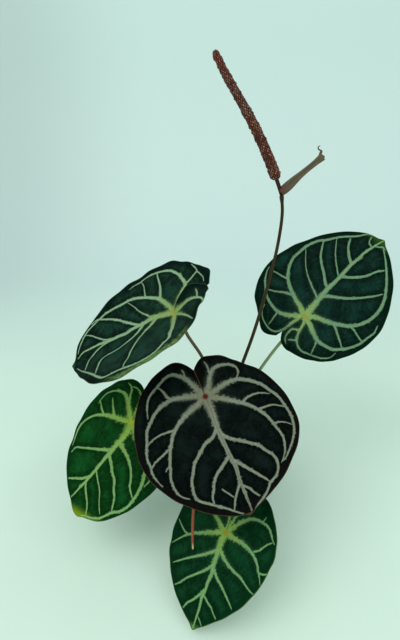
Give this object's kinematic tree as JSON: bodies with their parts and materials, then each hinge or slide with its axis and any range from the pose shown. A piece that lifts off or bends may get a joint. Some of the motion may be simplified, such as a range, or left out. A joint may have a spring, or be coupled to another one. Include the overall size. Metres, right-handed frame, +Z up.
{
  "type": "potted anthurium hybrid",
  "caption": "Velvet-leaved anthurium in a round pot: broad heart-shaped leaves with pale veins, a tall flower spike with a dried spathe, and an aerial root.",
  "frame": {"origin": "centre of the pot's flat underside, on the surface it stands on", "axes": "+Z up along the pot's axis, -Y towards the viewer of the picture, +X to the viewer's right"},
  "size_m": [0.3896, 0.2905, 0.524],
  "materials": {
    "pot_plastic": "matte moulded black-brown",
    "bark_mix": "coarse damp bark",
    "stem_bark": "rough",
    "petiole_skin": "smooth",
    "leaf_front": "dark velvet with silver veins",
    "leaf_right": "velvet with pale veins",
    "leaf_upper": "velvet with pale veins",
    "leaf_left": "satin with yellow-green veins",
    "leaf_low": "satin with pale green veins",
    "flower_stalk": "smooth",
    "dry_spathe": "dry papery",
    "spadix_florets": "rough",
    "root_skin": "smooth"
  },
  "bodies": {
    "root": {"pot": "pot_plastic", "soil": "bark_mix", "stem": "stem_bark", "petiole_front": "petiole_skin", "petiole_right": "petiole_skin", "petiole_upper": "petiole_skin", "petiole_left": "petiole_skin", "petiole_low": "petiole_skin", "blade_front": "leaf_front", "blade_right": "leaf_right", "blade_upper": "leaf_upper", "blade_left": "leaf_left", "blade_low": "leaf_low", "peduncle": "flower_stalk", "spathe": "dry_spathe", "spadix": "spadix_florets", "aerial_root": "root_skin"}
  },
  "joints": []
}
